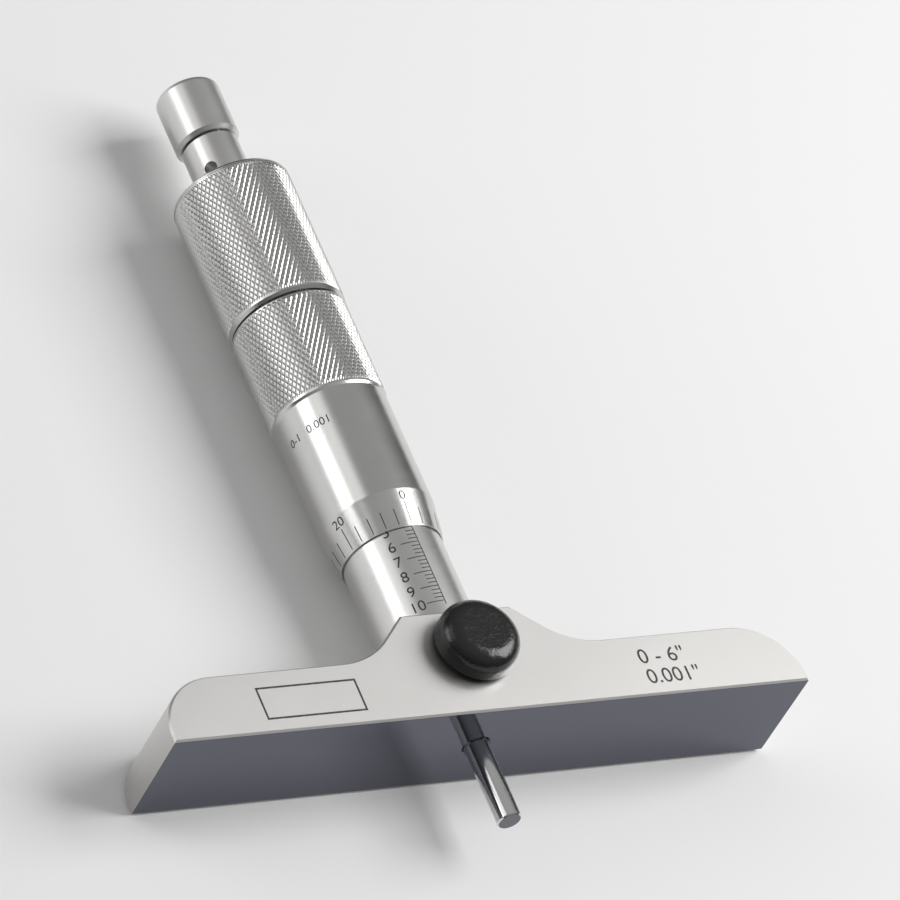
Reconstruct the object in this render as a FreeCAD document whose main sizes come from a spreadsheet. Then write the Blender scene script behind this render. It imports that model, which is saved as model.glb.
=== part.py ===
"""Depth micrometer with interchangeable rods, as a parametric FreeCAD document.

Frame: the origin is where the spindle axis meets the measuring face. X runs along the base, Y runs up the
spindle axis towards the ratchet, and Z points out of the front face, which carries the lock knob. The tool
lies on its back. Stations are distances along Y from the measuring face, in millimetres.
"""
import FreeCAD, Part
import os

import Sketcher
from FreeCAD import Vector

SIZES = {
    # base
    "base_length": (101.6, "length of the measuring face"),
    "base_depth": (17.0, "from the rear face to the front face"),
    "bar_height": (10.0, "height of the bar beside the boss"),
    "end_flat": (1.0, "upright part of the bar's ends, below their rounding"),
    "boss_width": (17.6, "flat on top of the boss"),
    "boss_height": (16.9, "station of the boss's top face"),
    "slope_run": (7.4, "how far each flank of the boss reaches sideways"),
    "slope_fillet": (12.0, "radius between flank and bar"),
    "edge_break": (0.3, "small chamfer on ground edges"),
    # clearances
    "guide_gap": (0.08, "radial clearance of the rod in its bores"),
    "running_gap": (0.05, "radial clearance of pieces that turn or slide"),
    "fixed_gap": (0.02, "radial clearance of pieces fixed to each other"),
    "seat_gap": (0.05, "axial clearance under faces that turn on each other"),
    "end_gap": (0.4, "clearance of the spindle and thimble at the end of the travel"),
    # guide tube in the boss
    "spigot_foot": (4.0, "station of the guide tube's lower end"),
    "spigot_wall": (0.7, "wall of the guide tube where it sits in the boss"),
    "thread_radius": (4.0, "major radius of the spindle thread"),
    "land_step": (0.3, "guiding bore and land, wider than the thread"),
    "nut_end_lift": (0.2, "from the sleeve's upper end to the slit nut end"),
    "nut_end_wall": (1.6, "wall of the slit nut end"),
    "thread_lead": (2.7, "internal thread below the nut end"),
    "slit_width": (0.9, "slits that let the nut end close"),
    "slit_count": (3, "slits in the nut end"),
    "nut_inset": (3.1, "adjusting nut below the top of the nut end"),
    "nut_rest": (2.0, "adjusting nut above the foot of the nut end"),
    "nut_sink": (0.5, "adjusting nut, smaller in radius than the sleeve"),
    # graduated sleeve
    "sleeve_radius": (7.3, "outside of the graduated sleeve"),
    "sleeve_wall": (1.03, "wall of the graduated sleeve"),
    "sleeve_top": (48.0, "station of its upper end"),
    "spanner_hole_radius": (1.0, "hole for the pin spanner, at the back"),
    "spanner_station": (24.0, "station of the spanner hole"),
    # screw head at the depth that is set
    "zero_station": (45.0, "station of the thimble's edge at a reading of zero"),
    "travel": (25.4, "travel of the screw"),
    "reading": (12.7, "depth that is set"),
    "foot_below_edge": (6.3, "spindle's lower end, below the thimble's edge"),
    "pilot_length": (6.0, "ground land at the spindle's lower end"),
    "web_height": (38.7, "underside of the thimble's web, above its edge"),
    "web_thickness": (1.95, "web that closes the thimble's upper end"),
    "journal_radius": (3.5, "spindle above its thread"),
    "thimble_gap": (0.1, "radial clearance between thimble and sleeve"),
    "thimble_lip": (0.2, "wall at the thimble's bevelled edge"),
    "thimble_radius": (8.45, "plain part of the thimble"),
    "bevel_length": (5.8, "graduated bevel"),
    "band_foot": (24.3, "lower end of the knurled band, above the edge"),
    "band_radius": (8.65, "knurled band"),
    "band_chamfer": (0.4, "chamfers at the ends of the band"),
    "hub_radius": (6.5, "threaded hub that takes the cap"),
    "hub_height": (5.3, "threaded hub that takes the cap"),
    "seat_lift": (0.25, "rod seat above the hub"),
    # rod
    "rod_radius": (1.8, "measuring rod"),
    "rod_tip_chamfer": (0.2, "edge of the lapped tip"),
    "collar_radius": (4.8, "collar on the rod"),
    "collar_height": (6.3, "collar on the rod"),
    "lock_nut_height": (3.0, "nut above the collar"),
    "lock_nut_step": (0.3, "nut, smaller in radius than the collar"),
    "notch_across": (1.4, "spanner notches in the rod's nut and the adjusting nut"),
    "notch_sink": (0.7, "depth of the spanner notches"),
    "rod_stub": (1.5, "threaded end above the nut"),
    # cap
    "groove_width": (0.5, "gap between the thimble and its cap"),
    "cap_radius": (8.85, "knurled cap"),
    "cap_height": (23.45, "knurled cap"),
    "cap_chamfer": (0.6, "upper edge of the cap"),
    "collar_gap": (0.5, "clearance round the rod's collar in the cap"),
    "cap_roof": (1.6, "wall between the rod's pocket and the ratchet's hole"),
    # ratchet stop
    "stud_radius": (2.5, "threaded stud of the ratchet neck"),
    "stud_gap": (0.4, "space below the ratchet neck's stud"),
    "neck_radius": (4.2, "neck of the ratchet stop"),
    "neck_height": (8.8, "neck of the ratchet stop"),
    "neck_floor": (4.3, "floor of the neck's cup"),
    "neck_wall": (1.0, "wall of the neck's cup"),
    "pin_hole_radius": (1.0, "blind hole in the neck for the pin wrench"),
    "pin_hole_lift": (3.1, "middle of the pin hole, above the cap"),
    "pin_hole_depth": (2.2, "pin hole"),
    "stop_turn": (-49.0, "degrees from the front at which the screwed-in neck has come to rest"),
    "key_width": (1.5, "keys of the ratchet ring"),
    "key_reach": (0.45, "how far the keys reach into the neck's wall"),
    "ring_height": (1.6, "notched ring"),
    "ring_sink": (0.7, "notched face of the ring below the neck's end"),
    "shoulder_radius": (1.5, "shoulder of the ratchet's screw"),
    "notch_count": (12, "notches in the ratchet ring"),
    "tooth_width": (0.8, "notches in the ratchet ring"),
    "tooth_depth": (0.6, "notches in the ratchet ring"),
    "tooth_play": (0.1, "play of a ridge in its notch"),
    "spring_wire": (0.45, "wire of the ratchet spring"),
    "spring_pitch": (0.7, "pitch of the ratchet spring"),
    "knob_radius": (4.8, "ratchet knob"),
    "knob_height": (9.5, "ratchet knob"),
    "knob_rounding": (0.9, "upper edge of the ratchet knob"),
    "knob_chamfer": (0.5, "lower edge of the ratchet knob"),
    "knob_lift": (0.2, "gap between the neck and the knob"),
    "knob_recess_radius": (3.1, "recess for the screw's head"),
    "knob_recess_depth": (2.6, "recess for the screw's head"),
    "washer_margin": (0.2, "space round the washer in its recess"),
    "washer_thickness": (0.4, "washer under the screw's head"),
    "screw_tip_radius": (1.0, "threaded end of the ratchet's screw"),
    "screw_tip_cover": (2.2, "stud's end below the ratchet's screw"),
    "screw_head_step": (0.1, "screw's head, smaller in radius than the washer"),
    "screw_head_height": (1.8, "head of the ratchet's screw"),
    "screw_slot": (0.6, "width and depth of the screw's slot"),
    # rod lock
    "lock_station": (10.4, "station of the lock's axis"),
    "lock_thread_radius": (2.0, "thread of the lock screw"),
    "plug_radius": (1.5, "brass clamp plug"),
    "plug_lift": (0.4, "plug above the rod while the lock is open"),
    "plug_proud": (0.55, "plug's outer end, beyond the guide tube's spigot"),
    "lock_knob_radius": (6.0, "lock knob"),
    "lock_knob_height": (4.3, "lock knob"),
    "lock_knob_lift": (0.6, "gap between front face and lock knob"),
    "lock_knob_rounding": (2.6, "rounded front of the lock knob"),
    "lock_screw_grip": (2.0, "length of the screw inside the knob"),
}

document = FreeCAD.newDocument("depth_micrometer")


def write_sheet():
    sheet = document.addObject("Spreadsheet::Sheet", "Sizes")
    for row, (alias, (value, remark)) in enumerate(SIZES.items(), start=1):
        sheet.set(f"A{row}", alias)
        sheet.set(f"B{row}", str(value))
        sheet.set(f"C{row}", remark)
        sheet.setAlias(f"B{row}", alias)
    document.recompute()


class Size:
    """A length together with the sheet expression that gives it, kept in step through arithmetic."""

    def __init__(self, value, text):
        self.value = float(value)
        self.text = text

    def __add__(self, other):
        other = as_size(other)
        return Size(self.value + other.value, f"({self.text} + {other.text})")

    def __sub__(self, other):
        other = as_size(other)
        return Size(self.value - other.value, f"({self.text} - {other.text})")

    def __mul__(self, number):
        return Size(self.value * number, f"({self.text} * {number})")

    def __truediv__(self, number):
        return Size(self.value / number, f"({self.text} / {number})")

    def __neg__(self):
        return Size(-self.value, f"(-{self.text})")


def as_size(number):
    return number if isinstance(number, Size) else Size(number, str(number))


def size(alias):
    return Size(SIZES[alias][0], f"Sizes.{alias}")


ZERO = as_size(0)


def bind(thing, name, length):
    thing.setExpression(name, as_size(length).text)


# Stations that several pieces share
thimble_edge = size("zero_station") - size("reading")
deepest_edge = size("zero_station") - size("travel")
pilot_floor = deepest_edge - size("foot_below_edge") - size("end_gap")
nut_end_foot = size("sleeve_top") + size("nut_end_lift")
nut_end_top = deepest_edge + size("web_height") - size("end_gap")
nut_foot = nut_end_foot + size("nut_rest")
nut_top = nut_end_top - size("nut_inset")
hub_station = thimble_edge + size("web_height") + size("web_thickness")
seat_station = hub_station + size("hub_height") + size("seat_lift")
cap_station = hub_station + size("groove_width")
cap_top = cap_station + size("cap_height")
rod_end = seat_station + size("collar_height") + size("lock_nut_height") + size("rod_stub")
stud_foot = rod_end + size("cap_roof") + size("stud_gap")
neck_top = cap_top + size("neck_height")
cup_floor = cap_top + size("neck_floor")
ring_top = neck_top - size("ring_sink")
knob_station = neck_top + size("knob_lift")
recess_floor = knob_station + size("knob_height") - size("knob_recess_depth")
washer_top = recess_floor + size("washer_thickness")
screw_foot = stud_foot + size("screw_tip_cover")

# Radii and heights that several pieces share
rod_bore_radius = size("rod_radius") + size("guide_gap")
pilot_bore_radius = size("thread_radius") + size("land_step")
spigot_radius = pilot_bore_radius + size("spigot_wall")
guide_radius = size("sleeve_radius") - size("sleeve_wall") - size("running_gap")
nut_end_radius = size("thread_radius") + size("nut_end_wall")
thimble_bore_radius = size("sleeve_radius") + size("thimble_gap")
cup_radius = size("neck_radius") - size("neck_wall")
shoulder_bore_radius = size("shoulder_radius") + size("running_gap")
washer_radius = size("knob_recess_radius") - size("washer_margin")
slope_foot = size("boss_width") / 2 + size("slope_run")
front_face = size("base_depth") / 2
plug_top = spigot_radius + size("plug_proud")


def origin_feature(body, role):
    return next(feature for feature in body.Origin.OriginFeatures if feature.Role == role)


def new_body(name):
    body = document.addObject("PartDesign::Body", name)
    body.Label = name
    return body


def new_sketch(body, name, plane, offset=ZERO):
    sketch = body.newObject("Sketcher::SketchObject", name)
    sketch.AttachmentSupport = [(origin_feature(body, plane), "")]
    sketch.MapMode = "FlatFace"
    bind(sketch, "AttachmentOffset.Base.z", offset)
    return sketch


def hold_point(sketch, line, end, point):
    """Ties one end of a line to (x, y), as distances from the sketch's origin."""
    for direction, axis, length in (("DistanceX", -2, point[0]), ("DistanceY", -1, point[1])):
        if length is ZERO:
            sketch.addConstraint(Sketcher.Constraint("PointOnObject", line, end, axis))
        else:
            rule = Sketcher.Constraint(direction, -1, 1, line, end, length.value)
            bind(sketch, f"Constraints[{sketch.addConstraint(rule)}]", length)


def draw_outline(sketch, corners):
    """A closed outline of straight lines through corners, each tied to the sheet."""
    corners = [(as_size(x) if x else ZERO, as_size(y) if y else ZERO) for x, y in corners]
    points = [Vector(x.value, y.value, 0) for x, y in corners]
    count = len(points)
    for index in range(count):
        sketch.addGeometry(Part.LineSegment(points[index], points[(index + 1) % count]))
    for index in range(count):
        sketch.addConstraint(Sketcher.Constraint("Coincident", index, 2, (index + 1) % count, 1))
        hold_point(sketch, index, 1, corners[index])


def draw_circle(sketch, x, y, radius):
    centre = (as_size(x) if x else ZERO, as_size(y) if y else ZERO)
    middle = Vector(centre[0].value, centre[1].value, 0)
    circle = sketch.addGeometry(Part.Circle(middle, Vector(0, 0, 1), radius.value))
    hold_point(sketch, circle, 3, centre)
    rule = sketch.addConstraint(Sketcher.Constraint("Radius", circle, radius.value))
    bind(sketch, f"Constraints[{rule}]", radius)


def revolve(body, name, corners, plane="XY_Plane", kind="Revolution"):
    """Turns an outline of (radius, height) corners about the plane's upright axis."""
    sketch = new_sketch(body, f"{name}_outline", plane)
    draw_outline(sketch, corners)
    feature = body.newObject(f"PartDesign::{kind}", name)
    feature.Profile = sketch
    feature.ReferenceAxis = (sketch, ["V_Axis"])
    feature.Angle = 360
    return feature


def extrude(body, name, sketch, length, kind="Pad", symmetric=False, reverse=False):
    feature = body.newObject(f"PartDesign::{kind}", name)
    feature.Profile = sketch
    feature.SideType = "Symmetric" if symmetric else "One side"
    feature.Reversed = reverse
    bind(feature, "Length", length)
    return feature


def repeat(body, feature, count):
    """Repeats a feature evenly around the body's Y axis."""
    pattern = body.newObject("PartDesign::PolarPattern", f"{feature.Name}_pattern")
    pattern.Originals = [feature]
    pattern.Axis = (origin_feature(body, "Y_Axis"), [""])
    pattern.Angle = 360
    pattern.Occurrences = int(as_size(count).value)
    if isinstance(count, Size):
        bind(pattern, "Occurrences", count)
    body.Tip = pattern
    return pattern


def edges_where(feature, test):
    document.recompute()
    return [f"Edge{number}" for number, edge in enumerate(feature.Shape.Edges, start=1) if test(edge)]


def soften(body, kind, base, length, test):
    """Rounds or chamfers the edges of base that pass the test."""
    edges = edges_where(base, test)
    feature = body.newObject(f"PartDesign::{kind}", f"{base.Name}_{kind.lower()}")
    feature.Base = (base, edges)
    bind(feature, "Radius" if kind == "Fillet" else "Size", length)
    return feature


def place(body, station, height=ZERO, turn=None):
    """Puts a body at its station, turned about the Y axis where a turn is given."""
    if turn:
        body.Placement = FreeCAD.Placement(Vector(), FreeCAD.Rotation(Vector(0, 1, 0), turn.value))
        bind(body, "Placement.Rotation.Angle", turn)
    bind(body, "Placement.Base.y", station)
    bind(body, "Placement.Base.z", height)
    return body


def is_rim(edge, radius, station):
    """Whether an edge is the full circle of this radius at this height on the Y axis."""
    curve = edge.Curve
    return (isinstance(curve, Part.Circle) and abs(curve.Radius - radius.value) < 1e-4
            and abs(curve.Center.y - station.value) < 1e-4 and abs(curve.Axis.y) > 0.99)


def stands_at(edge, x, y):
    """Whether an edge runs along Z at this x, on either side, and this y."""
    ends = [vertex.Point for vertex in edge.Vertexes]
    return all(abs(abs(end.x) - x.value) < 1e-4 and abs(end.y - y.value) < 1e-4 for end in ends)


def make_base():
    """A ground bar with a boss in the middle, bored along the spindle axis and across for the lock."""
    body = new_body("base")
    end = size("base_length") / 2
    boss = size("boss_width") / 2
    bar_top = size("bar_height")
    half = [(end, 0), (end, bar_top), (slope_foot, bar_top), (boss, size("boss_height"))]
    outline = new_sketch(body, "base_outline", "XY_Plane")
    draw_outline(outline, half + [(-as_size(x), y) for x, y in reversed(half)])
    bar = extrude(body, "base_bar", outline, size("base_depth"), symmetric=True)
    ends = soften(body, "Fillet", bar, bar_top - size("end_flat"),
                  lambda edge: stands_at(edge, end, bar_top))
    flanks = soften(body, "Fillet", ends, size("slope_fillet"),
                    lambda edge: stands_at(edge, slope_foot, bar_top))
    soften(body, "Chamfer", flanks, size("edge_break"),
           lambda edge: all(abs(abs(point.z) - front_face.value) < 1e-4 for point in
                            [edge.Vertexes[0].Point, edge.Vertexes[-1].Point, edge.CenterOfMass]))
    seat_radius = spigot_radius + size("fixed_gap")
    mouth = rod_bore_radius + size("edge_break")
    revolve(body, "base_bore", [
        (0, 0), (mouth, 0), (rod_bore_radius, size("edge_break")), (rod_bore_radius, size("spigot_foot")),
        (seat_radius, size("spigot_foot")), (seat_radius, size("boss_height")), (0, size("boss_height"))],
        kind="Groove")
    cross = new_sketch(body, "lock_hole_circle", "XY_Plane")
    draw_circle(cross, 0, size("lock_station"), size("lock_thread_radius"))
    extrude(body, "lock_hole", cross, size("base_depth"), kind="Pocket", reverse=True)
    return body


def make_inner_sleeve():
    """Guide tube: a spigot in the boss, a bore for the spindle, and a slit nut end at the top."""
    body = new_body("inner_sleeve")
    foot = size("spigot_foot")
    shoulder = size("boss_height") - foot
    neck = nut_end_foot - foot
    top = nut_end_top - foot
    thread_floor = neck - size("thread_lead")
    revolve(body, "guide_tube", [
        (rod_bore_radius, 0), (spigot_radius, 0), (spigot_radius, shoulder), (guide_radius, shoulder),
        (guide_radius, neck), (nut_end_radius, neck), (nut_end_radius, top), (size("thread_radius"), top),
        (size("thread_radius"), thread_floor), (pilot_bore_radius, thread_floor),
        (pilot_bore_radius, pilot_floor - foot), (rod_bore_radius, pilot_floor - foot)])
    slit = new_sketch(body, "slit_outline", "XY_Plane")
    side = size("slit_width") / 2
    draw_outline(slit, [(side, neck), (side, top), (-side, top), (-side, neck)])
    cut = extrude(body, "slit", slit, guide_radius, kind="Pocket", reverse=True)
    repeat(body, cut, size("slit_count"))
    cross = new_sketch(body, "plug_hole_circle", "XY_Plane")
    draw_circle(cross, 0, size("lock_station") - foot, size("plug_radius") + size("running_gap"))
    extrude(body, "plug_hole", cross, guide_radius, kind="Pocket", reverse=True)
    return place(body, foot)


def make_adjusting_nut():
    body = new_body("adjusting_nut")
    bore = nut_end_radius + size("fixed_gap")
    rim = size("sleeve_radius") - size("nut_sink")
    top = nut_top - nut_foot
    revolve(body, "nut_ring", [(bore, 0), (rim, 0), (rim, top - size("edge_break")),
                               (rim - size("edge_break"), top), (bore, top)])
    cut_notches(body, rim, top)
    return place(body, nut_foot)


def cut_notches(body, rim, top):
    """Four spanner notches across the top face of a round nut."""
    notch = new_sketch(body, "notch_outline", "XY_Plane")
    side = size("notch_across") / 2
    low = top - size("notch_sink")
    draw_outline(notch, [(side, low), (side, top), (-side, top), (-side, low)])
    cut = extrude(body, "notch", notch, rim, kind="Pocket", reverse=True)
    repeat(body, cut, 4)


def make_outer_sleeve():
    """Graduated sleeve, with a hole at the back for the pin spanner that sets zero."""
    body = new_body("outer_sleeve")
    bore = guide_radius + size("running_gap")
    rim = size("sleeve_radius")
    foot = size("boss_height") + size("seat_gap")
    top = size("sleeve_top") - foot
    revolve(body, "sleeve_tube", [(bore, 0), (rim, 0), (rim, top - size("edge_break")),
                                  (rim - size("edge_break"), top), (bore, top)])
    hole = new_sketch(body, "spanner_hole_circle", "XY_Plane")
    draw_circle(hole, 0, size("spanner_station") - foot, size("spanner_hole_radius"))
    extrude(body, "spanner_hole", hole, rim, kind="Pocket")
    return place(body, foot)


def make_spindle():
    """Hollow screw: a ground land below, the thread, and a journal whose end is the rod's seat."""
    body = new_body("spindle")
    land = pilot_bore_radius - size("running_gap")
    thread = size("thread_radius") - size("running_gap")
    foot = thimble_edge - size("foot_below_edge")
    web = size("foot_below_edge") + size("web_height")
    journal = size("journal_radius")
    seat = seat_station - foot
    revolve(body, "spindle_tube", [
        (rod_bore_radius, 0), (land, 0), (land, size("pilot_length")), (thread, size("pilot_length")),
        (thread, web), (journal, web), (journal, seat), (rod_bore_radius, seat)])
    return place(body, foot)


def make_thimble():
    """Tube with a graduated bevel below and a knurled band above, closed by a web at the top."""
    body = new_body("thimble")
    edge = thimble_bore_radius + size("thimble_lip")
    plain = size("thimble_radius")
    band = size("band_radius")
    chamfer = size("band_chamfer")
    top = size("web_height") + size("web_thickness")
    journal = size("journal_radius") + size("fixed_gap")
    revolve(body, "thimble_tube", [
        (thimble_bore_radius, 0), (edge, 0), (plain, size("bevel_length")), (plain, size("band_foot")),
        (band, size("band_foot") + chamfer), (band, top - chamfer), (band - chamfer, top), (journal, top),
        (journal, size("web_height")), (thimble_bore_radius, size("web_height"))])
    return place(body, thimble_edge)


def make_clamp_hub():
    body = new_body("clamp_hub")
    journal = size("journal_radius") + size("fixed_gap")
    rim = size("hub_radius")
    top = size("hub_height")
    revolve(body, "hub_ring", [(journal, 0), (rim, 0), (rim, top - size("edge_break")),
                               (rim - size("edge_break"), top), (journal, top)])
    return place(body, hub_station)


def make_measuring_rod():
    body = new_body("measuring_rod")
    rim = size("rod_radius")
    chamfer = size("rod_tip_chamfer")
    length = rod_end + size("reading")
    revolve(body, "rod", [(0, 0), (rim - chamfer, 0), (rim, chamfer), (rim, length - chamfer),
                          (rim - chamfer, length), (0, length)])
    return place(body, -size("reading"))


def make_rod_collar():
    body = new_body("rod_collar")
    bore = size("rod_radius") + size("fixed_gap")
    rim = size("collar_radius")
    top = size("collar_height")
    break_ = size("edge_break")
    revolve(body, "collar_ring", [(bore, 0), (rim - break_, 0), (rim, break_), (rim, top - break_),
                                  (rim - break_, top), (bore, top)])
    return place(body, seat_station)


def make_rod_lock_nut():
    body = new_body("rod_lock_nut")
    bore = size("rod_radius") + size("fixed_gap")
    rim = size("collar_radius") - size("lock_nut_step")
    top = size("lock_nut_height")
    revolve(body, "lock_nut_ring", [(bore, 0), (rim, 0), (rim, top - size("edge_break")),
                                    (rim - size("edge_break"), top), (bore, top)])
    cut_notches(body, rim, top)
    return place(body, seat_station + size("collar_height"))


def make_thimble_cap():
    """Knurled cap: it screws on the hub, presses on the rod's end and carries the ratchet."""
    body = new_body("thimble_cap")
    rim = size("cap_radius")
    top = size("cap_height")
    thread = size("hub_radius") + size("running_gap")
    ledge = size("hub_height") - size("groove_width") + size("cap_chamfer")
    roof = rod_end - cap_station
    pocket = size("collar_radius") + size("collar_gap")
    stud = size("stud_radius") + size("fixed_gap")
    stud_floor = roof + size("cap_roof")
    revolve(body, "cap_shell", [
        (0, roof), (pocket, roof), (pocket, ledge), (thread, ledge), (thread, 0),
        (rim - size("band_chamfer"), 0), (rim, size("band_chamfer")), (rim, top - size("cap_chamfer")),
        (rim - size("cap_chamfer"), top), (stud, top), (stud, stud_floor), (0, stud_floor)])
    return place(body, cap_station)


def make_ratchet_body():
    """Neck with a stud below and a cup above; two keyways in the cup's wall hold the ring from turning.

    A blind hole in the neck's side takes the pin wrench that tightens the stud in the cap.
    """
    body = new_body("ratchet_body")
    neck_foot = cap_top - stud_foot
    top = neck_top - stud_foot
    floor = cup_floor - stud_foot
    rim = size("neck_radius")
    screw = size("screw_tip_radius") + size("fixed_gap")
    screw_floor = size("screw_tip_cover") - size("fixed_gap")
    revolve(body, "neck", [
        (0, 0), (size("stud_radius"), 0), (size("stud_radius"), neck_foot), (rim, neck_foot),
        (rim, top - size("edge_break")), (rim - size("edge_break"), top), (cup_radius, top),
        (cup_radius, floor), (screw, floor), (screw, screw_floor), (0, screw_floor)])
    keyway = new_sketch(body, "keyway_outline", "XY_Plane")
    reach = cup_radius + size("key_reach") + size("running_gap")
    draw_outline(keyway, [(reach, floor), (reach, top), (-reach, top), (-reach, floor)])
    width = size("key_width") + size("running_gap") * 2
    extrude(body, "keyway", keyway, width, kind="Pocket", symmetric=True)
    pin_hole = new_sketch(body, "pin_hole_circle", "XY_Plane", offset=rim - size("pin_hole_depth"))
    draw_circle(pin_hole, 0, neck_foot + size("pin_hole_lift"), size("pin_hole_radius"))
    extrude(body, "pin_hole", pin_hole, rim, kind="Pocket", reverse=True)
    return place(body, stud_foot, turn=size("stop_turn"))


def make_ratchet_spring():
    """Compression spring between the cup's floor and the notched ring."""
    body = new_body("ratchet_spring")
    wire = size("spring_wire") / 2
    height = ring_top - size("ring_height") - cup_floor - size("spring_wire")
    section = new_sketch(body, "wire_section", "XY_Plane")
    draw_circle(section, (cup_radius + size("shoulder_radius")) / 2, wire, wire)
    spring = body.newObject("PartDesign::AdditiveHelix", "coils")
    spring.Profile = section
    spring.ReferenceAxis = (section, ["V_Axis"])
    spring.Mode = "pitch-height-angle"
    bind(spring, "Pitch", size("spring_pitch"))
    bind(spring, "Height", height)
    return place(body, cup_floor)


def make_ratchet_ring():
    """Ring with saw-tooth notches in its top face, free to sink against the spring but keyed in the neck."""
    body = new_body("ratchet_ring")
    rim = cup_radius - size("running_gap")
    bottom = -size("ring_height")
    revolve(body, "ring_blank", [(0, bottom), (rim, bottom), (rim, 0), (0, 0)])
    keys = new_sketch(body, "key_outline", "XY_Plane")
    reach = cup_radius + size("key_reach")
    shoulder = -size("tooth_depth")
    draw_outline(keys, [(reach, bottom), (reach, shoulder), (-reach, shoulder), (-reach, bottom)])
    extrude(body, "keys", keys, size("key_width"), symmetric=True)
    bore = shoulder_bore_radius
    revolve(body, "ring_bore", [(0, bottom), (bore, bottom), (bore, 0), (0, 0)], kind="Groove")
    tooth = new_sketch(body, "notch_outline", "YZ_Plane")
    draw_tooth(tooth, size("tooth_width"), size("tooth_depth"))
    cut = extrude(body, "notch", tooth, cup_radius, kind="Pocket", reverse=True)
    repeat(body, cut, size("notch_count"))
    return place(body, ring_top, turn=size("stop_turn"))


def draw_tooth(sketch, width, depth):
    """The saw tooth across the ring's face: a ramp and an upright flank below the line where faces meet."""
    side = width / 2
    draw_outline(sketch, [(0, side), (-depth, side), (0, -side)])


def make_ratchet_knob():
    """Plain knob: its boss carries one ridge for each notch, and its top is recessed for the screw."""
    body = new_body("ratchet_knob")
    boss = cup_radius - size("running_gap")
    drop = knob_station - ring_top - size("seat_gap")
    top = drop + size("knob_height")
    rim = size("knob_radius")
    chamfer = size("knob_chamfer")
    recess = size("knob_recess_radius")
    recess_bottom = top - size("knob_recess_depth")
    turned = revolve(body, "knob_barrel", [
        (shoulder_bore_radius, 0), (boss, 0), (boss, drop), (rim - chamfer, drop), (rim, drop + chamfer),
        (rim, top), (recess, top), (recess, recess_bottom), (shoulder_bore_radius, recess_bottom)])
    soften(body, "Fillet", turned, size("knob_rounding"), lambda edge: is_rim(edge, rim, top))
    ridge = new_sketch(body, "ridge_outline", "YZ_Plane", offset=shoulder_bore_radius)
    draw_tooth(ridge, size("tooth_width") - size("tooth_play") * 2, size("tooth_depth") - size("tooth_play"))
    pad = extrude(body, "ridge", ridge, boss - shoulder_bore_radius)
    repeat(body, pad, size("notch_count"))
    return place(body, ring_top + size("seat_gap"), turn=size("stop_turn"))


def make_ratchet_washer():
    body = new_body("ratchet_washer")
    bore = shoulder_bore_radius
    rim = washer_radius
    top = size("washer_thickness")
    revolve(body, "washer_ring", [(bore, 0), (rim, 0), (rim, top), (bore, top)])
    return place(body, recess_floor)


def make_ratchet_screw():
    """Shoulder screw: its shoulder stands on the cup's floor, so the knob turns freely under its head."""
    body = new_body("ratchet_screw")
    tip = cup_floor - screw_foot
    head = washer_top + size("seat_gap") - screw_foot
    top = head + size("screw_head_height")
    rim = washer_radius - size("screw_head_step")
    shoulder = size("shoulder_radius")
    revolve(body, "shank", [
        (0, 0), (size("screw_tip_radius"), 0), (size("screw_tip_radius"), tip), (shoulder, tip),
        (shoulder, head), (rim, head), (rim, top - size("edge_break")), (rim - size("edge_break"), top),
        (0, top)])
    slot = new_sketch(body, "slot_outline", "XY_Plane")
    side = size("screw_slot") / 2
    floor = top - size("screw_slot")
    draw_outline(slot, [(side, floor), (side, top), (-side, top), (-side, floor)])
    extrude(body, "slot", slot, rim * 2, kind="Pocket", symmetric=True)
    return place(body, screw_foot)


def make_clamp_plug():
    body = new_body("clamp_plug")
    foot = size("rod_radius") + size("plug_lift")
    rim = size("plug_radius")
    top = plug_top - foot
    break_ = size("edge_break")
    revolve(body, "plug", [(0, 0), (rim - break_, 0), (rim, break_), (rim, top), (0, top)], plane="XZ_Plane")
    return place(body, size("lock_station"), foot)


def make_lock_screw():
    body = new_body("lock_screw")
    foot = plug_top + size("seat_gap")
    rim = size("lock_thread_radius") - size("running_gap")
    top = front_face + size("lock_knob_lift") + size("lock_screw_grip") - foot
    revolve(body, "lock_shank", [(0, 0), (rim, 0), (rim, top), (0, top)], plane="XZ_Plane")
    return place(body, size("lock_station"), foot)


def make_lock_knob():
    """Round knob with a well-rounded front, moulded over the end of the lock screw."""
    body = new_body("lock_knob")
    rim = size("lock_knob_radius")
    top = size("lock_knob_height")
    bore = size("lock_thread_radius")
    grip = size("lock_screw_grip")
    disc = revolve(body, "knob_disc", [
        (0, grip), (bore, grip), (bore, 0), (rim - size("edge_break"), 0), (rim, size("edge_break")),
        (rim, top), (0, top)], plane="XZ_Plane")
    soften(body, "Fillet", disc, size("lock_knob_rounding"),
           lambda edge: edge.BoundBox.ZMin > top.value - 1e-4 and edge.BoundBox.XLength > rim.value)
    return place(body, size("lock_station"), front_face + size("lock_knob_lift"))


MAKERS = [
    make_base, make_inner_sleeve, make_adjusting_nut, make_outer_sleeve, make_clamp_plug, make_lock_screw,
    make_lock_knob, make_spindle, make_thimble, make_clamp_hub, make_measuring_rod, make_rod_collar,
    make_rod_lock_nut, make_thimble_cap, make_ratchet_body, make_ratchet_spring, make_ratchet_ring,
    make_ratchet_knob, make_ratchet_washer, make_ratchet_screw]


def check_and_export(bodies):
    failed = [thing.Name for thing in document.Objects if {"Invalid", "Error"} & set(thing.State)]
    failed += [body.Label for body in bodies if body.Shape.isNull() or not body.Shape.isValid()]
    if failed:
        raise RuntimeError("failed: " + ", ".join(failed))
    os.makedirs("parts", exist_ok=True)
    for body in bodies:
        print(f"{body.Label}: {len(body.Shape.Solids)} solid, {body.Shape.Volume:.1f} mm3")
        body.Shape.exportStep(f"parts/{body.Label}.step")


write_sheet()
made = [make() for make in MAKERS]
document.recompute()
check_and_export(made)
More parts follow.
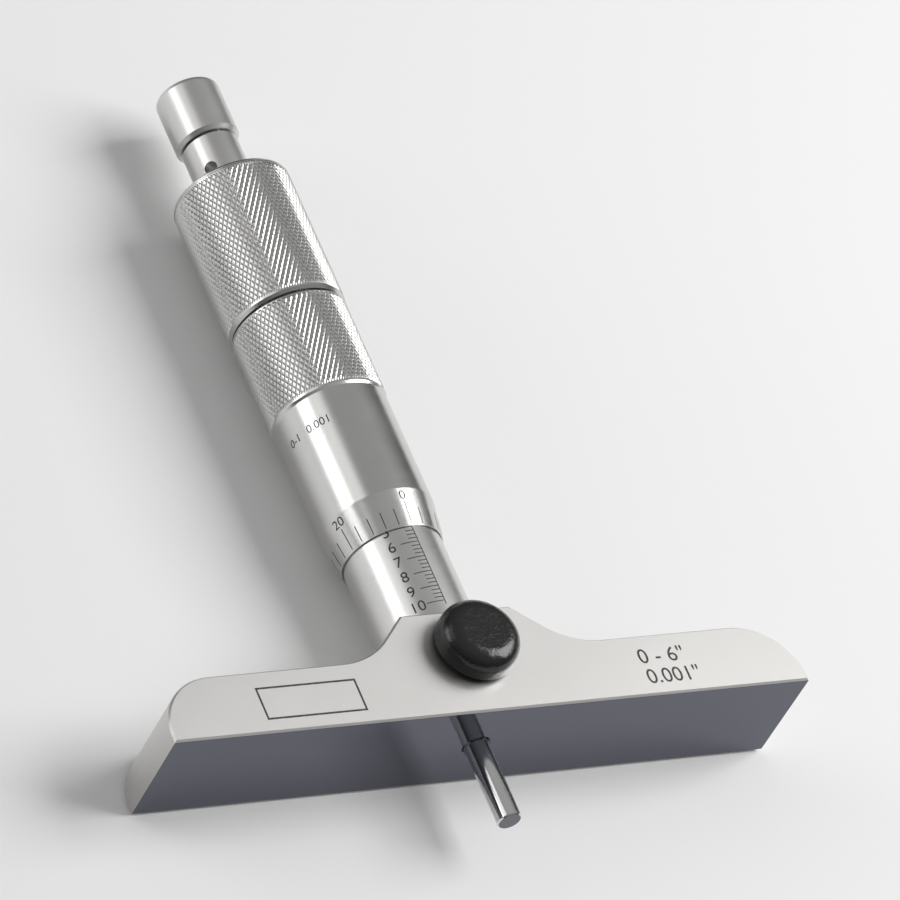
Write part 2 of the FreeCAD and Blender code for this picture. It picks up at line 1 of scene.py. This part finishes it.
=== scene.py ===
"""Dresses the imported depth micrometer: knurls, graduations, figures, finishes, light and camera.

The tool lies on its back. X runs along the base, Y up the spindle axis from the measuring face, and
Z out of the front face. Everything is in metres.
"""

import math

import bmesh
import bpy
from mathutils import Matrix, Vector


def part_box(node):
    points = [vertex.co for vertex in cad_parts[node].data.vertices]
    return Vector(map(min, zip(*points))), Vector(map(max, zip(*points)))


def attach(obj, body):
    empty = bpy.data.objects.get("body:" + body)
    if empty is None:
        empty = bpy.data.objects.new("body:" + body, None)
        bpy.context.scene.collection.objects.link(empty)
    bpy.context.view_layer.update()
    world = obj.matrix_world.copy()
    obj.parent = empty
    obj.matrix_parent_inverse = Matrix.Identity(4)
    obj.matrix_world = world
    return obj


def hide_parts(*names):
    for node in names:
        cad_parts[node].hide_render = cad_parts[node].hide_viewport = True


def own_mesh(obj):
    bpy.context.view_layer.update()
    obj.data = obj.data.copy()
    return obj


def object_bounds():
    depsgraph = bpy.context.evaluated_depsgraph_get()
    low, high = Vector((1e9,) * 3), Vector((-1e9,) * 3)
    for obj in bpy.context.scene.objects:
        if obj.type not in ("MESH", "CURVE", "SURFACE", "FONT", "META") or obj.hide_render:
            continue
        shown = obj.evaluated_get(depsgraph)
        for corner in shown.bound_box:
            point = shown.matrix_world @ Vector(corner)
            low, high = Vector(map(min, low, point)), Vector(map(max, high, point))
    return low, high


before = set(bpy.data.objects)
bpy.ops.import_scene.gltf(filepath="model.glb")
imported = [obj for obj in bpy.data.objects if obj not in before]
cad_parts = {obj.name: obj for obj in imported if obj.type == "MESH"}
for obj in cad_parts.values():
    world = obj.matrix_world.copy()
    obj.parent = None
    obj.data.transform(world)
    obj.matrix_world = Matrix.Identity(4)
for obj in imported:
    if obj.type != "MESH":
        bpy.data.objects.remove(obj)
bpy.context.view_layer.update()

MM = 0.001

# ----------------------------------------------------------------------------------- trees of nodes

# The Mix node keeps a set of sockets for each kind of value: first, second and result.
MIX_SOCKETS = {"VECTOR": (4, 5, 1), "RGBA": (6, 7, 2)}


class Field:
    """The value at a socket. Arithmetic on it adds Math nodes to the tree it belongs to."""

    def __init__(self, tree, socket):
        self.tree = tree
        self.socket = socket

    def math(self, operation, *others):
        return self.tree.math(operation, self, *others)

    def __add__(self, other):
        return self.math("ADD", other)

    __radd__ = __add__

    def __sub__(self, other):
        return self.math("SUBTRACT", other)

    def __rsub__(self, other):
        return self.tree.math("SUBTRACT", other, self)

    def __mul__(self, other):
        return self.math("MULTIPLY", other)

    __rmul__ = __mul__

    def __truediv__(self, other):
        return self.math("DIVIDE", other)

    def __mod__(self, other):
        return self.math("FLOORED_MODULO", other)

    def __gt__(self, other):
        return self.math("GREATER_THAN", other)

    def __lt__(self, other):
        return self.math("LESS_THAN", other)

    def rising(self, low, high):
        """0 below low, 1 above high, and a smooth rise in between."""
        sockets = {"Value": self, "From Min": low, "From Max": high}
        return self.tree.add("ShaderNodeMapRange", {"interpolation_type": "SMOOTHSTEP"}, sockets)


class NodeTree:
    """A tree of nodes, all added by one method."""

    def __init__(self, tree):
        self.tree = tree

    def add(self, kind, settings=None, sockets=None, out=0):
        """Adds a node and gives one of its outputs.

        Its settings come first, then the values or links of its sockets. A list links each of its
        values to the one socket.
        """
        node = self.tree.nodes.new(kind)
        for name, value in (settings or {}).items():
            setattr(node, name, value)
        for name, value in (sockets or {}).items():
            for source in value if isinstance(value, list) else [value]:
                if isinstance(source, Field):
                    self.tree.links.new(source.socket, node.inputs[name])
                else:
                    node.inputs[name].default_value = source
        return Field(self, node.outputs[out]) if node.outputs else None

    def math(self, operation, *values):
        return self.add("ShaderNodeMath", {"operation": operation}, dict(enumerate(values)))

    def axes(self, place):
        """The X, Y and Z of a place."""
        parts = self.add("ShaderNodeSeparateXYZ", sockets={0: place}).socket.node.outputs
        return [Field(self, part) for part in parts]

    def blend(self, kind, factor, first, second):
        first_socket, second_socket, result = MIX_SOCKETS[kind]
        sockets = {0: factor, first_socket: first, second_socket: second}
        return self.add("ShaderNodeMix", {"data_type": kind}, sockets, out=result)


class Finish(NodeTree):
    """One procedural material, on Object coordinates."""

    def __init__(self, name):
        self.material = bpy.data.materials.new(name)
        self.material.use_nodes = True
        super().__init__(self.material.node_tree)
        self.tree.nodes.clear()
        self.place = self.add("ShaderNodeTexCoord", out="Object")
        self.x, self.y, self.z = self.axes(self.place)

    def radius(self):
        """Distance from the spindle axis."""
        return (self.x * self.x + self.z * self.z).math("SQRT")

    def noise(self, scale, stretch=(1, 1, 1), detail=2.0, roughness=0.5):
        """Noise with waves of about 1 / scale metres, divided along each axis by stretch."""
        place = self.add("ShaderNodeMapping", sockets={"Vector": self.place, "Scale": stretch})
        sockets = {"Vector": place, "Scale": scale, "Detail": detail, "Roughness": roughness}
        return self.add("ShaderNodeTexNoise", sockets=sockets, out="Fac")

    def turning(self, scale, detail):
        """Fine marks that run round the spindle axis."""
        return self.noise(scale, stretch=(0.02, 1, 0.02), detail=detail)

    def mix(self, factor, first, second):
        """A colour between two, each one mixed before or a tuple of red, green and blue."""
        return self.blend("RGBA", factor, colour_of(first), colour_of(second))

    def bump(self, height, distance):
        return self.add("ShaderNodeBump", sockets={"Height": height, "Distance": distance})

    def surface(self, **inputs):
        """Ends the finish with a Principled shader, whose inputs are given with _ for a space."""
        sockets = {name.replace("_", " "): value for name, value in inputs.items()}
        shader = self.add("ShaderNodeBsdfPrincipled", sockets=sockets)
        self.add("ShaderNodeOutputMaterial", sockets={"Surface": shader})
        return self.material


def colour_of(value):
    return value if isinstance(value, Field) else (*value, 1.0)


# --------------------------------------------------------------------------------- sizes used below

thimble_low, thimble_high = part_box("thimble")
cap_low, cap_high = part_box("thimble_cap")
sleeve_low, sleeve_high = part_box("outer_sleeve")
base_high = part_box("base")[1]
rod_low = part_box("measuring_rod")[0]

BEVEL_FOOT = 7.6 * MM        # radius of the thimble's bevel at its foot
BEVEL_LENGTH = 5.8 * MM      # of the bevel, along the axis
BARREL = thimble_high.x - 0.2 * MM      # radius of the thimble's plain barrel

KNURL_DEPTH = 0.11 * MM
KNURL_AROUND = 68            # diamonds round the tool
GROOVE_STEPS = 4             # mesh steps from a groove to the next
STEPS = GROOVE_STEPS * KNURL_AROUND
KNURL_ROW = 0.345 * MM       # a quarter of a diamond's length
SHOULDER = 0.85              # height of a diamond's shoulder, as a share of the knurl's depth
RIM_DROP = 0.02 * MM         # how far the plain rims lie below the knurl's crest

LINE = 0.13 * MM             # width of an engraved line
PROUD = 0.03 * MM            # the paint's thickness, half of it above the surface
SCALE_STEP = 0.635 * MM      # one turn of the screw
ZERO = 45.0 * MM             # station of the sleeve's zero line

FOLD = math.radians(6)       # edges sharper than this stay crisp

# ----------------------------------------------------------------------------------------- finishes


def make_turned_chrome(name, roughness, tone):
    """Satin chrome over fine turning marks."""
    finish = Finish(name)
    turning = finish.turning(9000, detail=3)
    cloud = finish.noise(180, detail=3)
    grain = finish.noise(14000, detail=1)
    dark = (tone * 0.96, tone * 0.955, tone * 0.935)
    light = (tone * 1.04, tone * 1.035, tone * 1.01)
    return finish.surface(
        Base_Color=finish.mix(cloud, dark, light), Metallic=1.0,
        Roughness=roughness + 0.10 * turning + 0.06 * cloud - 0.08,
        Normal=finish.bump(turning * 0.6 + grain * 0.4, 0.000004))


def make_ground_steel():
    """Ground all round, with a lapped measuring face below and the same on its hole's rim; both are
    coloured a dark blue-grey, a painted dark reflection.
    """
    finish = Finish("ground_steel_finish")
    rim = (finish.radius() < 2.4 * MM) * (finish.y < 1.0 * MM)
    # mask of the lapped face and rim: it sets their real low roughness and smooth surface, and also
    # their painted dark reflection
    lapped_with_painted_reflection = (finish.y < 0.02 * MM).math("MAXIMUM", rim)
    lines = finish.noise(16000, stretch=(0.012, 1, 1), detail=3)
    cloud = finish.noise(60, detail=3)
    grain = finish.noise(9000, detail=2)
    ground_tone = finish.mix(cloud, (0.615, 0.605, 0.59), (0.66, 0.65, 0.635))
    # painted reflection: the lapped face and rim get a dark blue-grey base colour in place of the dark
    # surroundings they would mirror
    colour = finish.mix(lapped_with_painted_reflection, ground_tone, (0.12, 0.125, 0.155))
    rough = 0.36 + 0.10 * lines + 0.06 * cloud
    return finish.surface(
        Base_Color=colour, Metallic=1.0, Roughness=rough * (1 - lapped_with_painted_reflection) + 0.09 * lapped_with_painted_reflection,
        Normal=finish.bump((lines * 0.7 + grain * 0.3) * (1 - 0.97 * lapped_with_painted_reflection), 0.000005))


def make_polished_steel(name, tone, roughness, tip=None):
    """Ground steel with the finest of marks round its axis, and a painted dark reflection on the end
    below the station of a tip.
    """
    finish = Finish(name)
    turning = finish.turning(12000, detail=2)
    cloud = finish.noise(150, detail=2)
    dark = (tone * 0.95, tone * 0.95, tone * 0.95)
    light = (tone * 1.04, tone * 1.04, tone * 1.03)
    colour = finish.mix(cloud, dark, light)
    if tip is not None:
        # painted reflection: the end face below the tip's station gets a dark blue-grey base colour,
        # like the lapped measuring face
        colour = finish.mix(finish.y < tip, colour, (0.16, 0.16, 0.18))
    return finish.surface(
        Base_Color=colour, Metallic=1.0, Roughness=roughness + 0.05 * cloud + 0.04 * turning,
        Normal=finish.bump(turning, 0.000002))


def make_black_plastic():
    """Glossy moulded black plastic with the faint ripple of its mould."""
    finish = Finish("black_plastic_finish")
    ripple = finish.noise(520, detail=3, roughness=0.6)
    speck = finish.noise(3600, detail=2)
    return finish.surface(
        Base_Color=finish.mix(ripple, (0.010, 0.010, 0.010), (0.018, 0.018, 0.017)),
        Roughness=0.13 + 0.16 * speck, Normal=finish.bump(ripple * 0.85 + speck * 0.15, 0.00014))


def make_black_oxide():
    """Turned steel, chemically blackened."""
    finish = Finish("black_oxide_finish")
    cloud = finish.noise(400, detail=3)
    turning = finish.turning(7000, detail=2)
    return finish.surface(
        Base_Color=finish.mix(cloud, (0.028, 0.028, 0.030), (0.050, 0.049, 0.048)),
        Metallic=0.7, Roughness=0.34 + 0.14 * cloud, Normal=finish.bump(turning, 0.000005))


def make_brass():
    finish = Finish("brass_finish")
    cloud = finish.noise(700, detail=3)
    colour = finish.mix(cloud, (0.70, 0.52, 0.25), (0.80, 0.62, 0.32))
    return finish.surface(Base_Color=colour, Metallic=1.0, Roughness=0.26 + 0.14 * cloud)


def make_black_fill():
    """Black paint rubbed into engraved lines and figures, worn thin in places."""
    finish = Finish("black_fill_finish")
    wear = finish.noise(2600, detail=3).rising(0.35, 0.75)
    colour = finish.mix(wear, (0.022, 0.022, 0.022), (0.085, 0.083, 0.078))
    return finish.surface(Base_Color=colour, Roughness=0.6)


def make_floor():
    """Matt and pale."""
    finish = Finish("floor_finish")
    cloud = finish.noise(9, detail=2)
    colour = finish.mix(cloud, (0.86, 0.86, 0.86), (0.88, 0.88, 0.88))
    return finish.surface(Base_Color=colour, Roughness=0.7)


# ----------------------------------------------------------------------------------- geometry trees


class GeometryTree(NodeTree):
    """A Geometry Nodes tree with named inputs, which ends in Realize Instances and Set Material."""

    def __init__(self, name, inputs):
        super().__init__(bpy.data.node_groups.new(name, "GeometryNodeTree"))
        inputs = {"Geometry": "Geometry", **inputs}
        interface = self.tree.interface
        for title, kind in inputs.items():
            interface.new_socket(title, in_out="INPUT", socket_type=f"NodeSocket{kind}")
        interface.new_socket("Geometry", in_out="OUTPUT", socket_type="NodeSocketGeometry")
        given = self.add("NodeGroupInput").socket.node.outputs
        self.given = {title: Field(self, given[title]) for title in inputs}

    def around(self, radius, turn, station):
        """The place at a radius and a station, turned round the spindle axis from the front."""
        sockets = {0: radius * turn.math("SINE"), 1: station, 2: radius * turn.math("COSINE")}
        return self.add("ShaderNodeCombineXYZ", sockets=sockets)

    def finish_with(self, geometry):
        real = self.add("GeometryNodeRealizeInstances", sockets={"Geometry": geometry})
        sockets = {"Geometry": real, "Material": self.given["Material"]}
        dressed = self.add("GeometryNodeSetMaterial", sockets=sockets)
        self.add("NodeGroupOutput", sockets={"Geometry": dressed})
        return self.tree


def run_tree(name, tree, values, mesh=None):
    """Runs a tree on a mesh, or on nothing, and gives the result as a plain mesh."""
    carrier = bpy.data.objects.new(name, mesh or bpy.data.meshes.new(name))
    bpy.context.scene.collection.objects.link(carrier)
    modifier = carrier.modifiers.new("tree", "NODES")
    modifier.node_group = tree
    for item in tree.interface.items_tree:
        if item.in_out == "INPUT" and item.name in values:
            modifier[item.identifier] = values[item.name]
    bpy.context.view_layer.update()
    evaluated = carrier.evaluated_get(bpy.context.evaluated_depsgraph_get())
    result = bpy.data.meshes.new_from_object(evaluated)
    bpy.data.objects.remove(carrier)
    return result


def knurl_tree():
    """A tube of diamonds. Two families of grooves cross on it, four mesh steps apart.

    On the grid of steps (i, j) a groove passes where i + j or i - j is a multiple of 4. Every point
    with i + j odd is on the shoulder of a diamond, and the middle of one is where both leave 2. The
    first and the last line of the grid stay at the depth of the grooves.
    """
    tree = GeometryTree("knurl", {
        "Crest": "Float", "Depth": "Float", "Foot": "Float", "Row": "Float", "Rows": "Int",
        "Steps": "Int", "Shoulder": "Float", "Material": "Material"})
    given = tree.given
    columns = given["Steps"] + 1
    lines = given["Rows"] + 1
    grid = tree.add("GeometryNodeMeshGrid", sockets={"Vertices X": columns, "Vertices Y": lines})
    index = tree.add("GeometryNodeInputIndex")
    i = ((index + 0.5) / lines).math("FLOOR")
    j = index - i * lines
    one = (i + j) % GROOVE_STEPS
    other = (i - j) % GROOVE_STEPS
    shoulder = one % 2
    middle = one.math("COMPARE", 2, 0.1) * other.math("COMPARE", 2, 0.1)
    inside = (j > 0.5) * (j < given["Rows"] - 0.5)
    height = (shoulder * given["Shoulder"]).math("MAXIMUM", middle) * inside
    radius = given["Crest"] - (1 - height) * given["Depth"]
    turn = i * (2 * math.pi) / given["Steps"]
    place = tree.around(radius, turn, given["Foot"] + j * given["Row"])
    tube = tree.add("GeometryNodeSetPosition", sockets={"Geometry": grid, "Position": place})
    seam = {"Geometry": tube, "Distance": 0.002 * MM}
    closed = tree.add("GeometryNodeMergeByDistance", sockets=seam)
    shortest = {"quad_method": "SHORTEST_DIAGONAL"}
    facets = tree.add("GeometryNodeTriangulate", shortest, {"Mesh": closed})
    return tree.finish_with(facets)


def marks_tree():
    """Bars in a row, every so many of them long, and flat figures, wrapped on a cylinder or a cone.

    Before wrapping, x is the way round at the foot's radius, y the station and z the height above the
    surface. The pivot moves a bar by shares of its own size. The slope is the radius gained per metre
    above the foot.
    """
    tree = GeometryTree("marks", {
        "Count": "Int", "Step": "Vector", "Start": "Vector", "Short": "Vector", "Long": "Vector",
        "Long Every": "Int", "Pivot": "Vector", "Radius": "Float", "Slope": "Float",
        "Foot": "Float", "Material": "Material"})
    given = tree.given
    row = tree.add("GeometryNodeMeshLine", sockets={
        "Count": given["Count"], "Start Location": given["Start"], "Offset": given["Step"]})
    bar_cube = tree.add("GeometryNodeMeshCube", sockets={
        "Size": (1, 1, 1), "Vertices X": 7, "Vertices Y": 3, "Vertices Z": 2})
    moved = tree.add("GeometryNodeTransform", sockets={
        "Geometry": bar_cube, "Translation": given["Pivot"]})
    is_long = tree.add("GeometryNodeInputIndex") % given["Long Every"] < 0.5
    size = tree.blend("VECTOR", is_long, given["Short"], given["Long"])
    bars = tree.add("GeometryNodeInstanceOnPoints", sockets={
        "Points": row, "Instance": moved, "Scale": size})
    real_bars = tree.add("GeometryNodeRealizeInstances", sockets={"Geometry": bars})
    flat = tree.add("GeometryNodeJoinGeometry", sockets={0: [real_bars, given["Geometry"]]})
    x, y, z = tree.axes(tree.add("GeometryNodeInputPosition"))
    radius = given["Radius"] + z + (y - given["Foot"]) * given["Slope"]
    place = tree.around(radius, x / given["Radius"], y)
    wrapped = tree.add("GeometryNodeSetPosition", sockets={"Geometry": flat, "Position": place})
    return tree.finish_with(wrapped)


KNURL = knurl_tree()
MARKS = marks_tree()

# ------------------------------------------------------------------------------------------ helpers


def new_piece(name, mesh, body, material=None):
    """A visible piece on a body; without a material it keeps its mesh's own."""
    piece = bpy.data.objects.new(name, mesh)
    bpy.context.scene.collection.objects.link(piece)
    if material:
        mesh.materials.clear()
        mesh.materials.append(material)
    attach(piece, body)
    return piece


def crisp(mesh, angle=FOLD):
    """Smooth shading, apart from edges sharper than the angle."""
    mesh.polygons.foreach_set("use_smooth", [True] * len(mesh.polygons))
    mesh.set_sharp_from_angle(angle=angle)


def turned_and_knurled(name, profile, foot, rows, crest):
    """A shell turned from a profile of (radius, station), which runs from the end of the knurl round to
    its foot, and closed with the knurl."""
    knurl = run_tree(f"{name}_knurl", KNURL, {
        "Crest": crest, "Depth": KNURL_DEPTH, "Foot": foot, "Row": KNURL_ROW, "Rows": rows,
        "Steps": STEPS, "Shoulder": SHOULDER, "Material": thimble_chrome})
    work = bmesh.new()
    work.from_mesh(knurl)
    turns = [2 * math.pi * step / STEPS for step in range(STEPS)]
    rings = [[work.verts.new((radius * math.sin(turn), station, radius * math.cos(turn)))
              for turn in turns] for radius, station in profile]
    for ring, following in zip(rings, rings[1:]):
        for step in range(STEPS):
            after = (step + 1) % STEPS
            work.faces.new((ring[step], ring[after], following[after], following[step]))
    bmesh.ops.remove_doubles(work, verts=work.verts, dist=0.003 * MM)
    bmesh.ops.recalc_face_normals(work, faces=work.faces)
    mesh = mesh_from(work, name)
    crisp(mesh)
    return mesh


def mesh_from(work, name):
    mesh = bpy.data.meshes.new(name)
    work.to_mesh(mesh)
    work.free()
    return mesh


def figure(text, height, x, y):
    """A flat figure that stands on y with its middle at x, as thick as the paint."""
    capital_share = 0.7      # a figure's height as a share of its font's size
    curve = bpy.data.curves.new("figure", "FONT")
    curve.body = text
    curve.size = height / capital_share
    curve.align_x = "CENTER"
    curve.extrude = 0.5
    holder = bpy.data.objects.new("figure", curve)
    bpy.context.scene.collection.objects.link(holder)
    bpy.context.view_layer.update()
    mesh = bpy.data.meshes.new_from_object(holder)
    bpy.data.objects.remove(holder)
    for vertex in mesh.vertices:
        side = PROUD / 2 if vertex.co.z > 0 else -PROUD / 2
        vertex.co = (x + vertex.co.x, y + vertex.co.y, side)
    return mesh


def bar(width, height, x, y):
    """A flat bar with its middle at (x, y), as thick as the paint."""
    work = bmesh.new()
    bmesh.ops.create_cube(work, size=1.0)
    for vertex in work.verts:
        vertex.co = (x + vertex.co.x * width, y + vertex.co.y * height, vertex.co.z * PROUD)
    return mesh_from(work, "bar")


def joined(name, meshes, cuts=0):
    """One mesh of triangles from several, with doubles merged and every edge cut so many times."""
    work = bmesh.new()
    for mesh in meshes:
        work.from_mesh(mesh)
    bmesh.ops.remove_doubles(work, verts=work.verts, dist=0.0005 * MM)
    bmesh.ops.triangulate(work, faces=work.faces)
    if cuts:
        bmesh.ops.subdivide_edges(work, edges=work.edges, cuts=cuts, use_grid_fill=True)
    return mesh_from(work, name)


# ------------------------------------------------------------------------------------- CAD finishes

thimble_chrome = make_turned_chrome("thimble_chrome_finish", roughness=0.24, tone=0.66)
stop_chrome = make_turned_chrome("ratchet_chrome_finish", roughness=0.34, tone=0.68)
hardened = make_polished_steel("hardened_steel_finish", tone=0.62, roughness=0.2)
black_oxide = make_black_oxide()
black_fill = make_black_fill()

CAD_FINISHES = {
    "base": make_ground_steel(),
    "outer_sleeve": make_turned_chrome("sleeve_chrome_finish", roughness=0.30, tone=0.72),
    "measuring_rod": make_polished_steel(
        "rod_steel_finish", tone=0.78, roughness=0.1, tip=rod_low.y + 0.02 * MM),
    "lock_knob": make_black_plastic(),
    "clamp_plug": make_brass(),
    "rod_collar": black_oxide,
    "rod_lock_nut": black_oxide,
    "ratchet_body": stop_chrome,
    "ratchet_knob": stop_chrome,
    "thimble": thimble_chrome,
    "thimble_cap": thimble_chrome,
}
for node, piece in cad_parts.items():
    piece.data.materials.clear()
    piece.data.materials.append(CAD_FINISHES.get(node, hardened))

# ---------------------------------------------------------------------------------- thimble and cap


def dress_thimble():
    """The thimble with its knurled band; its profile is the CAD node's."""
    edge, top = thimble_low.y, thimble_high.y
    crest = thimble_high.x
    rim, groove = crest - RIM_DROP, crest - KNURL_DEPTH
    bore, mouth, journal = 7.4 * MM, 7.0 * MM, 3.52 * MM
    bevel, band, web = edge + BEVEL_LENGTH, edge + 24.3 * MM, top - 1.95 * MM
    rows = 45
    foot = band + 0.7 * MM
    end = foot + rows * KNURL_ROW
    profile = [
        (groove, end), (groove, end + 0.1 * MM), (rim, end + 0.16 * MM),
        (crest - 0.3 * MM, top - 0.1 * MM), (crest - 0.4 * MM, top), (mouth, top), (journal, top),
        (journal, web), (bore, web), (bore, (web + edge) / 2), (bore, edge), (BEVEL_FOOT, edge),
        (BARREL, bevel), (BARREL, band), (rim, band + 0.4 * MM), (rim, band + 0.55 * MM),
        (groove, band + 0.62 * MM), (groove, foot)]
    mesh = turned_and_knurled("thimble_shell", profile, foot, rows, crest)
    piece = new_piece("thimble_shell", mesh, "thimble_unit", thimble_chrome)
    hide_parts("thimble")


def dress_cap():
    """The knurled cap; its profile is the CAD node's, with the crest a hair inside it."""
    bottom, top = cap_low.y, cap_high.y
    crest = cap_high.x - 0.005 * MM
    rim, groove = crest - RIM_DROP, crest - KNURL_DEPTH
    thread, pocket, stud, axis = 6.55 * MM, 5.3 * MM, 2.52 * MM, 0.001 * MM
    ledge, roof, floor = bottom + 5.4 * MM, bottom + 15.85 * MM, bottom + 17.45 * MM
    rows = 64
    foot = bottom + 0.62 * MM
    end = foot + rows * KNURL_ROW
    profile = [
        (groove, end), (groove, end + 0.06 * MM), (rim, end + 0.12 * MM), (rim, top - 0.5 * MM),
        (rim - 0.15 * MM, top - 0.18 * MM), (rim - 0.5 * MM, top), (stud + 1.2 * MM, top),
        (stud, top), (stud, floor), (axis, floor), (axis, roof), (pocket, roof), (pocket, ledge),
        (thread, ledge), (thread, bottom), (crest - 0.4 * MM, bottom), (rim, bottom + 0.38 * MM),
        (rim, bottom + 0.5 * MM), (groove, bottom + 0.56 * MM), (groove, foot)]
    mesh = turned_and_knurled("cap_shell", profile, foot, rows, crest)
    piece = new_piece("cap_shell", mesh, "cap_unit", thimble_chrome)
    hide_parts("thimble_cap")


dress_thimble()
dress_cap()

# -------------------------------------------------------------------------- graduations and figures


def dress_sleeve():
    """The main scale: a reading line, a line for each turn, and a figure for every fourth."""
    turns, turns_to_figure = 40, 4
    height, middle, drop = 1.65 * MM, -4.05 * MM, 0.82 * MM
    overrun = 0.6 * MM       # of the reading line, past the scale's first and last lines
    figures = [
        figure(str(number), height, middle, ZERO - number * turns_to_figure * SCALE_STEP - drop)
        for number in range(turns // turns_to_figure + 1)]
    length = turns * SCALE_STEP + 2 * overrun
    reading_line = bar(LINE, length, 0, ZERO - length / 2 + overrun)
    flat = joined("sleeve_figures", [*figures, reading_line], cuts=1)
    mesh = run_tree("sleeve_scale", MARKS, {
        "Count": turns + 1, "Step": (0, -SCALE_STEP, 0), "Start": (0, ZERO, 0),
        "Short": (1.3 * MM, LINE, PROUD), "Long": (2.7 * MM, LINE, PROUD),
        "Long Every": turns_to_figure, "Pivot": (-0.5, 0, 0), "Radius": sleeve_high.x,
        "Slope": 0.0, "Foot": sleeve_low.y, "Material": black_fill}, flat)
    new_piece("sleeve_scale", mesh, "sleeve")


def dress_bevel():
    """Twenty-five lines on the thimble's bevel, with a figure for every fifth."""
    lines, lines_to_figure = 25, 5
    height, rise = 1.35 * MM, 4.1 * MM
    edge = thimble_low.y
    step = 2 * math.pi * BEVEL_FOOT / lines
    figures = [figure(str(number), height, number * step, edge + rise)
               for number in range(0, lines, lines_to_figure)]
    flat = joined("bevel_figures", figures, cuts=1)
    mesh = run_tree("bevel_scale", MARKS, {
        "Count": lines, "Step": (step, 0, 0), "Start": (0, edge + 0.35 * MM, 0),
        "Short": (LINE, 2.5 * MM, PROUD), "Long": (LINE, 3.4 * MM, PROUD),
        "Long Every": lines_to_figure, "Pivot": (0, 0.5, 0), "Radius": BEVEL_FOOT,
        "Slope": (BARREL - BEVEL_FOOT) / BEVEL_LENGTH, "Foot": edge, "Material": black_fill}, flat)
    new_piece("bevel_scale", mesh, "thimble_unit")


def dress_thimble_text():
    """Resolution and range of the screw, in small figures under the knurled band."""
    height, station = 1.25 * MM, thimble_low.y + 19.2 * MM
    turned_by = {"0.001": -48, "0-1": -78}       # degrees from the front
    texts = [figure(text, height, BARREL * math.radians(turn), station)
             for text, turn in turned_by.items()]
    flat = joined("thimble_figures", texts, cuts=1)
    mesh = run_tree("thimble_text", MARKS, {
        "Count": 0, "Radius": BARREL, "Slope": 0.0, "Foot": thimble_low.y, "Long Every": 1,
        "Material": black_fill}, flat)
    new_piece("thimble_text", mesh, "thimble_unit")


def dress_front():
    """On the front face: an empty outlined field at the left, range and resolution at the right."""
    left, right, low, high = -35.7 * MM, -20.0 * MM, 2.2 * MM, 7.2 * MM
    width, height = 0.3 * MM, 2.4 * MM           # of the outline, of the figures
    middle_x, middle_y = (left + right) / 2, (low + high) / 2
    outline = [bar(right - left, width, middle_x, y) for y in (low, high)]
    outline += [bar(width, high - low - width, x, middle_y)
                for x in (left + width / 2, right - width / 2)]
    texts = [figure("0 - 6\"", height, 29.0 * MM, 5.3 * MM),
             figure("0.001\"", height, 29.6 * MM, 1.9 * MM)]
    mesh = joined("front_marks", [*outline, *texts])
    for vertex in mesh.vertices:
        vertex.co.z += base_high.z
    new_piece("front_marks", mesh, "base_unit", black_fill)


dress_sleeve()
dress_bevel()
dress_thimble_text()
dress_front()

# ----------------------------------------------------------------------------------- ratchet spring


def dress_spring():
    """The ratchet's coil, copied from the CAD node onto the cap's body; the real coil gives way as the
    notched ring sinks on it, but this one keeps its shape.
    """
    mesh = joined("spring_coil", [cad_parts["ratchet_spring"].data])
    crisp(mesh, math.radians(40))
    piece = new_piece("spring_coil", mesh, "cap_unit", hardened)
    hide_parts("ratchet_spring")
    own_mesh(piece)


dress_spring()

# -------------------------------------------------------------------------- floor, light and camera


def make_stage():
    """A wide floor under the lowest point of the tool."""
    half = 3.0
    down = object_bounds()[0].z
    corners = [(-half, -half, down), (half, -half, down), (half, half, down), (-half, half, down)]
    mesh = bpy.data.meshes.new("floor")
    mesh.from_pydata(corners, [], [(0, 1, 2, 3)])
    mesh.materials.append(make_floor())
    floor = bpy.data.objects.new("floor", mesh)
    bpy.context.scene.collection.objects.link(floor)


def area_light(name, place, size, power):
    """A white lamp, size across and up, aimed at the middle of the tool."""
    target = Vector((0, 0.05, 0))
    data = bpy.data.lights.new(name, "AREA")
    data.shape = "RECTANGLE"
    data.size, data.size_y = size
    data.energy = power
    lamp = bpy.data.objects.new(name, data)
    bpy.context.scene.collection.objects.link(lamp)
    lamp.location = place
    lamp.rotation_euler = (target - Vector(place)).to_track_quat("-Z", "Y").to_euler()


def make_light():
    """A sky that brightens upward, a soft key lamp on the right and two dim cards on the left."""
    world = bpy.data.worlds.new("studio")
    bpy.context.scene.world = world
    world.use_nodes = True
    sky = NodeTree(world.node_tree)
    sky.tree.nodes.clear()
    upward = sky.axes(sky.add("ShaderNodeTexCoord", out="Generated"))[2]
    strength = sky.add("ShaderNodeMapRange", sockets={
        "Value": upward, "To Min": 0.03, "To Max": 0.42})
    back = sky.add("ShaderNodeBackground", sockets={"Color": (1, 1, 1, 1), "Strength": strength})
    sky.add("ShaderNodeOutputWorld", sockets={"Surface": back})
    area_light("key", (0.62, -0.02, 0.64), (0.6, 0.6), 7.2)
    area_light("left_card", (-0.62, 0.40, 0.19), (0.45, 0.28), 1.0)
    area_light("upper_card", (-0.52, 0.46, 0.52), (0.5, 0.26), 0.34)


def make_camera():
    """A long lens from the lower left and above, rolled to one side."""
    right = Vector((0.85365, -0.36004, 0.37639))
    up = Vector((0.06832, 0.79389, 0.60428))
    data = bpy.data.cameras.new("camera")
    data.sensor_width = 36.0
    data.lens = 342.0
    data.clip_start, data.clip_end = 0.05, 20.0
    camera = bpy.data.objects.new("camera", data)
    bpy.context.scene.collection.objects.link(camera)
    camera.location = (-0.6057, -0.5411, 0.8466)
    camera.rotation_euler = Matrix((right, up, right.cross(up))).transposed().to_euler()
    bpy.context.scene.camera = camera


make_stage()
make_light()
make_camera()
bpy.context.scene.view_settings.view_transform = "Standard"
